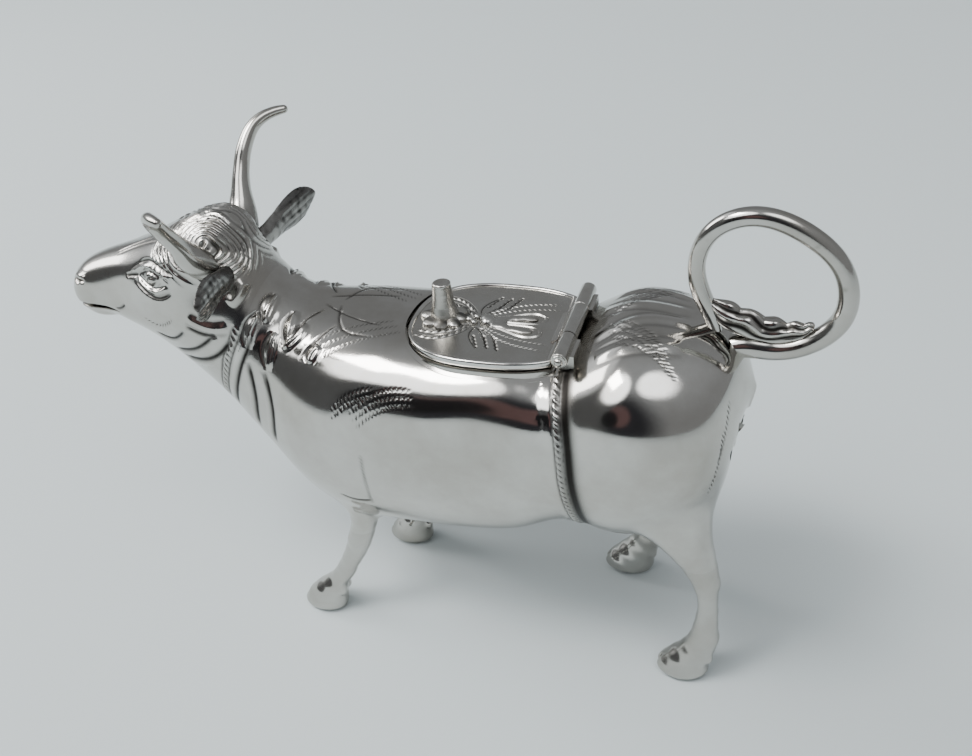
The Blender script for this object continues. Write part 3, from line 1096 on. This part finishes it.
def lid_pieces(mats):
    work = lid_lines()
    marked = near_lines(work, None, 0.7)
    plate = Skin(plate_field, (-4, -13.5, 62), (25, 13.5, 65), 0.2, marked, 1)
    height, dark = chase(plate, work)
    up = plate.normals[:, 2] > 0.7
    plate.raise_by(np.where(up, height, 0), np.where(up, dark, 0))
    mesh = finish_normals(plate.mesh("plate"), None)
    show("lid_plate_engraved", mesh, "lid", ["lid_plate"], mats["lid"])

    def ornament(p):
        q = mirrored(p)
        d = ellipsoid(q, (10.6, 0.0, LID_TOP + 0.1), (1.35, 1.55, 1.15))
        d = smin(d, ellipsoid(q, (8.5, 0.9, LID_TOP + 0.1), (0.62, 0.62, 0.6)), 0.2)
        d = smin(d, ellipsoid(q, (7.4, 0.0, LID_TOP + 0.1), (0.8, 0.66, 0.6)), 0.2)
        d = smin(d, ellipsoid(q, (12.6, 0.0, LID_TOP), (1.5, 0.5, 0.45)), 0.3)
        for x, y in ((13.0, 1.0), (15.2, 1.7), (17.3, 2.0)):
            d = smin(d, ellipsoid(q, (x, y, LID_TOP), (1.6, 0.85, 0.42)), 0.5)
        return np.maximum(d, LID_TOP - 0.2 - p[:, 2])

    made = Skin(ornament, (5.5, -4, 63), (20, 4, 66), 0.13)
    low = np.clip((LID_TOP + 0.4 - made.points[:, 2]) / 0.4, 0, 1)
    made.raise_by(0.02 * waves(made.points, 0.5), 0.45 * low)
    mesh = finish_normals(made.mesh("bow"), None)
    show("lid_bow_relief", mesh, "lid", ["lid_ornament"], mats["lid"])

    def boss(p):
        dx, dy = p[:, 0] - KNOB_X, p[:, 1]
        r = np.sqrt(dx * dx + dy * dy)
        turn = np.arctan2(dy, dx)
        petal = np.abs(np.cos(4 * turn + 0.4 * np.sin(turn)))
        reach = 3.35 + 0.95 * petal
        share = np.clip(r / reach, 0, 1.3)
        top = LID_TOP + 0.5 + 0.55 * (1 - share ** 2) + 0.16 * petal - 0.7 * np.clip(share - 0.8, 0, 1)
        return smax(smax(p[:, 2] - top, r - reach, 0.3) * 0.8, LID_TOP - 0.2 - p[:, 2], 0.05)

    made = Skin(boss, (-2.5, -5.5, 63), (8.5, 5.5, 66.5), 0.14)
    made.raise_by(0.06 * waves(made.points, 0.6), np.clip(0.35 + 0.6 * waves(made.points, 0.8), 0, 0.6))
    mesh = finish_normals(made.mesh("boss"), None)
    show("lid_leaf_boss", mesh, "lid", ["lid_boss"], mats["lid"])

    profile = Curve([(2.55, 64.5), (2.3, 65.1), (2.0, 66.0), (1.82, 67.4), (1.68, 69.2), (1.62, 70.2)])

    def knob(p):
        dx, dy, z = p[:, 0] - KNOB_X, p[:, 1], p[:, 2]
        share = np.clip((z - KNOB_FOOT) / (KNOB_SHOULDER - KNOB_FOOT), 0, 1) * 5
        r = np.sqrt(dx * dx + (dy * 1.03) ** 2)
        side = r - np.interp(share, profile.k, profile.v[:, 0])
        top = z - KNOB_TOP - 0.05 * dx + 0.12 * np.clip(1 - (r / 1.2) ** 2, 0, 1)
        return smax(smax(side, top, 0.5), LID_TOP - 0.1 - z, 0.05)

    made = Skin(knob, (0, -3, 63.5), (6, 3, 72), 0.14)
    made.raise_by(0.03 * waves(made.points, 1.2))
    mesh = finish_normals(made.mesh("knob"), None)
    show("lid_knob_cast", mesh, "lid", ["lid_knob"], mats["lid"])

    def rim(p):
        dx = p[:, 0] - LID["middle"]
        out = inside_outline(p, 0.0)
        back = p[:, 0] - LID["cut"]
        mid = (LID_TOP + RIM_RISE + LID_UNDER) / 2
        tall = (LID_TOP + RIM_RISE - LID_UNDER) / 2
        across = (out + RIM_WIDTH * 0.52) / (RIM_WIDTH * 0.52)
        up = (p[:, 2] - mid) / tall
        round_edge = (np.abs(across) ** 2.6 + np.abs(up) ** 2.6) ** (1 / 2.6)
        d = (round_edge - 1) * RIM_WIDTH * 0.5
        return smax(smax(d, back, 0.1), dx - RIM_REACH, 0.1)

    made = Skin(rim, (-4, -14, 62), (25, 14, 65.5), 0.17)
    made.raise_by(0.015 * waves(made.points, 1.5), np.clip((63.4 - made.points[:, 2]) * 2, 0, 0.5))
    mesh = finish_normals(made.mesh("rim"), None)
    show("lid_rolled_rim", mesh, "lid", ["lid_rim"], mats["bright"])


# ------------------------------------------------------------------ hinge
def rounded_rod(r, y0, y1, edge=0.14):
    """Profile of a bar with softened ends."""
    steps = [math.pi / 2 * k / 4 for k in range(5)]
    first = [(r - edge + edge * math.sin(t), y0 + edge - edge * math.cos(t)) for t in steps]
    last = [(r - edge + edge * math.cos(t), y1 - edge + edge * math.sin(t)) for t in steps]
    return first + last


def smooth(mesh, angle=35):
    mesh.polygons.foreach_set("use_smooth", np.ones(len(mesh.polygons), bool))
    mesh.set_sharp_from_angle(angle=math.radians(angle))
    return mesh


def hinge_pieces(mats):
    for side_name, side in (("left", -1), ("right", 1)):
        profile = rounded_rod(KNUCKLE_R, KNUCKLE_SPLIT + 0.09, HINGE_HALF)
        if side < 0:
            profile = [(r, -y) for r, y in reversed(profile)]
        show("hinge_tube_" + side_name, smooth(rod_mesh(profile)), "jug",
             ["hinge_knuckle_" + side_name], mats["hinge"])
    pin = [(1.12, 0.0), (1.14, 0.12), (1.08, 0.22), (0.86, 0.3), (0.74, 0.3), (0.7, 0.42), (0.6, 0.62),
           (0.4, 0.78), (0.15, 0.85)]
    far = [(r, HINGE_HALF + y) for r, y in pin]
    near = [(r, -y) for r, y in reversed(far)]
    shaft = [(PIN_R, -HINGE_HALF), (PIN_R, HINGE_HALF)]
    mesh = smooth(rod_mesh(near + shaft + far), 28)
    show("hinge_pin_riveted", mesh, "jug", ["hinge_pin"], mats["hinge"])


# ------------------------------------------------------------------ materials
class Nodes:
    """Short hand for building a material's node tree."""

    def __init__(self, tree):
        self.tree = tree
        tree.nodes.clear()

    def add(self, kind, **values):
        node = self.tree.nodes.new(kind)
        for key, value in values.items():
            if hasattr(node, key):
                setattr(node, key, value)
            else:
                node.inputs[key.replace("_", " ")].default_value = value
        return node

    def join(self, a, out, b, into):
        self.tree.links.new(a.outputs[out], b.inputs[into])

    def ramp(self, source, out, stops):
        node = self.add("ShaderNodeValToRGB")
        line = node.color_ramp
        while len(line.elements) < len(stops):
            line.elements.new(0.5)
        for element, (place, colour) in zip(line.elements, stops):
            element.position = place
            element.color = (*colour, 1)
        self.join(source, out, node, "Fac")
        return node


def grey(v):
    return (v, v, v)


def silver(name, clean, stain, rough, stain_share=0.5, scratch=1.0):
    """Polished silver with faint tarnish, hairline scratches and dark oxide in the recesses."""
    mat = bpy.data.materials.new(name)
    mat.use_nodes = True
    n = Nodes(mat.node_tree)
    out = n.add("ShaderNodeOutputMaterial")
    shader = n.add("ShaderNodeBsdfPrincipled", Metallic=1.0)
    n.join(shader, "BSDF", out, "Surface")
    spot = n.add("ShaderNodeTexCoord")
    cloud = n.add("ShaderNodeTexNoise", Scale=70.0, Detail=5.0, Roughness=0.62)
    n.join(spot, "Object", cloud, "Vector")
    mottle = n.add("ShaderNodeTexNoise", Scale=420.0, Detail=4.0, Roughness=0.7)
    n.join(spot, "Object", mottle, "Vector")
    dark = n.add("ShaderNodeAttribute", attribute_name="dark")
    tone = n.ramp(cloud, "Fac", [(0.36, clean), (0.36 + 0.5 / (0.6 + stain_share), stain)])
    speck = n.ramp(mottle, "Fac", [(0.30, grey(0.0)), (0.62, grey(1.0))])
    mix = n.add("ShaderNodeMix", data_type="RGBA")
    n.join(tone, "Color", mix, "A")
    mix.inputs["B"].default_value = (0.022, 0.02, 0.018, 1)
    n.join(dark, "Fac", mix, "Factor")
    n.join(mix, "Result", shader, "Base Color")
    spread = n.add("ShaderNodeMapRange", From_Min=0.3, From_Max=0.75, To_Min=rough, To_Max=rough + 0.09)
    n.join(cloud, "Fac", spread, "Value")
    more = n.add("ShaderNodeMath", operation="MULTIPLY_ADD")
    more.inputs[1].default_value = 0.35
    n.join(dark, "Fac", more, 0)
    n.join(spread, "Result", more, 2)
    n.join(more, "Value", shader, "Roughness")
    stretch = n.add("ShaderNodeMapping")
    stretch.inputs["Scale"].default_value = (260.0, 1500.0, 1500.0)
    n.join(spot, "Object", stretch, "Vector")
    hair = n.add("ShaderNodeTexNoise", Scale=1.0, Detail=3.0, Roughness=0.7)
    n.join(stretch, "Vector", hair, "Vector")
    sum_up = n.add("ShaderNodeMath", operation="MULTIPLY_ADD")
    sum_up.inputs[1].default_value = 0.5
    n.join(speck, "Color", sum_up, 0)
    n.join(hair, "Fac", sum_up, 2)
    bump_node = n.add("ShaderNodeBump", Strength=0.16 * scratch, Distance=0.00003)
    n.join(sum_up, "Value", bump_node, "Height")
    n.join(bump_node, "Normal", shader, "Normal")
    return mat


def all_silver():
    clean = (0.58, 0.565, 0.535)
    stain = (0.40, 0.375, 0.335)
    return {
        "sheet": silver("silver_sheet_polished", clean, stain, 0.07),
        "cast": silver("silver_cast_worn", (0.53, 0.515, 0.485), stain, 0.11, 0.7, 1.4),
        "dark": silver("silver_ear_oxidised", (0.36, 0.35, 0.33), (0.13, 0.125, 0.12), 0.17, 1.2, 2.0),
        "lid": silver("silver_lid_satin", (0.55, 0.54, 0.51), stain, 0.2, 0.6, 1.6),
        "bright": silver("silver_rim_bright", (0.74, 0.73, 0.70), stain, 0.1),
        "hinge": silver("silver_hinge_worn", (0.62, 0.61, 0.58), stain, 0.18, 0.7, 1.3),
    }


# CAD solids that stay visible as they are, with their finish
CAD_FINISH = {"lid_seat_collar": "sheet", "hinge_bearer_left": "hinge", "hinge_bearer_right": "hinge",
              "hinge_knuckle_lid": "hinge", "lid_bezel": "lid"}


# ------------------------------------------------------------------ studio
CAMERA_PLACE = (60.2, -144.2, 157.7)
CAMERA_TURN = dict(azimuth=19.4, elevation=34.6, roll=-5.1)
LENS = 39.32


def camera():
    a, e, r = (math.radians(CAMERA_TURN[k]) for k in ("azimuth", "elevation", "roll"))
    back = Vector((math.sin(a) * math.cos(e), -math.cos(a) * math.cos(e), math.sin(e)))
    right = Vector((math.cos(a), math.sin(a), 0))
    up = back.cross(right)
    across = right * math.cos(r) + up * math.sin(r)
    above = up * math.cos(r) - right * math.sin(r)
    data = bpy.data.cameras.new("photo_view")
    data.lens = LENS
    data.sensor_width = 36.0
    data.clip_start = 0.01
    made = bpy.data.objects.new("photo_view", data)
    bpy.context.scene.collection.objects.link(made)
    made.matrix_world = (Matrix((across, above, back)).transposed().to_4x4())
    made.location = Vector(CAMERA_PLACE) * MM
    bpy.context.scene.camera = made


def floor():
    bm = bmesh.new()
    bmesh.ops.create_grid(bm, x_segments=1, y_segments=1, size=3.0)
    mesh = bpy.data.meshes.new("floor")
    bm.to_mesh(mesh)
    made = quick_object(mesh, "floor")
    mat = bpy.data.materials.new("paper")
    mat.use_nodes = True
    n = Nodes(mat.node_tree)
    out = n.add("ShaderNodeOutputMaterial")
    shader = n.add("ShaderNodeBsdfPrincipled", Base_Color=(0.60, 0.655, 0.66, 1), Roughness=0.9)
    shader.inputs["Specular IOR Level"].default_value = 0.1
    n.join(shader, "BSDF", out, "Surface")
    mesh.materials.append(mat)


ROOM_BASE = (0.30, 0.31, 0.32)
# direction, cosine inside which a patch is full, cosine outside which it is gone, colour
ROOM = [
    ((0, 0, 1), 0.97, 0.3, (0.42, 0.44, 0.46)),
    ((0.1, 1.0, 0.5), 0.9, 0.4, (0.27, 0.28, 0.29)),
    ((-0.25, -1.0, 0.22), 0.90, 0.62, (0.035, 0.036, 0.042)),
    ((-0.9, -0.5, 0.35), 0.93, 0.7, (0.12, 0.125, 0.13)),
    ((-0.22, -0.98, 0.42), 0.985, 0.96, (0.16, 0.10, 0.10)),
    ((-0.40, -0.92, 0.30), 0.990, 0.975, (0.02, 0.02, 0.022)),
    ((-0.45, -0.50, 0.90), 0.965, 0.93, (4.2, 4.3, 4.4)),
    ((0.35, -0.42, 0.95), 0.985, 0.95, (3.6, 3.7, 3.8)),
    ((-0.9, 0.25, 0.6), 0.96, 0.88, (1.1, 1.15, 1.2)),
    ((0, 0, -1), 0.3, 0.0, (0.42, 0.44, 0.44)),
]


def world():
    """The room that the silver mirrors: a grey back, a pale ceiling and a dark front."""
    bpy.context.scene.world = bpy.data.worlds.new("room")
    w = bpy.context.scene.world
    w.use_nodes = True
    n = Nodes(w.node_tree)
    out = n.add("ShaderNodeOutputWorld")
    light = n.add("ShaderNodeBackground", Strength=1.0)
    n.join(light, "Background", out, "Surface")
    spot = n.add("ShaderNodeTexCoord")
    total = None
    for towards, near_cos, far_cos, colour in ROOM:
        unit = Vector(towards).normalized()
        dot = n.add("ShaderNodeVectorMath", operation="DOT_PRODUCT")
        n.join(spot, "Generated", dot, 0)
        dot.inputs[1].default_value = unit
        fade = n.add("ShaderNodeMapRange", From_Min=far_cos, From_Max=near_cos)
        fade.interpolation_type = "SMOOTHSTEP"
        n.join(dot, "Value", fade, "Value")
        mix = n.add("ShaderNodeMix", data_type="RGBA")
        n.join(fade, "Result", mix, "Factor")
        if total is None:
            mix.inputs["A"].default_value = (*ROOM_BASE, 1)
        else:
            n.join(total, "Result", mix, "A")
        mix.inputs["B"].default_value = (*colour, 1)
        total = mix
    n.join(total, "Result", light, "Color")


def softbox(place, size, power, towards=(0, 0, 40)):
    data = bpy.data.lights.new("softbox", "AREA")
    data.shape = "RECTANGLE"
    data.size, data.size_y = (v * MM for v in size)
    data.energy = power
    made = bpy.data.objects.new("softbox", data)
    bpy.context.scene.collection.objects.link(made)
    made.location = Vector(place) * MM
    aim = (Vector(place) - Vector(towards)).normalized()
    made.rotation_euler = aim.to_track_quat("Z", "Y").to_euler()


def studio():
    camera()
    floor()
    world()
    softbox((-420, -260, 900), (360, 260), 6.0)
    softbox((-700, 100, 500), (300, 400), 3.0)


# ------------------------------------------------------------------ making
studio()
MATS = all_silver()
cow_pieces(MATS)
horn_pieces(MATS)
ear_pieces(MATS)
tail_pieces(MATS)
lid_pieces(MATS)
hinge_pieces(MATS)
for node, finish_name in CAD_FINISH.items():
    for place in frame["nodes"][node].material_slots:
        place.material = MATS[finish_name]
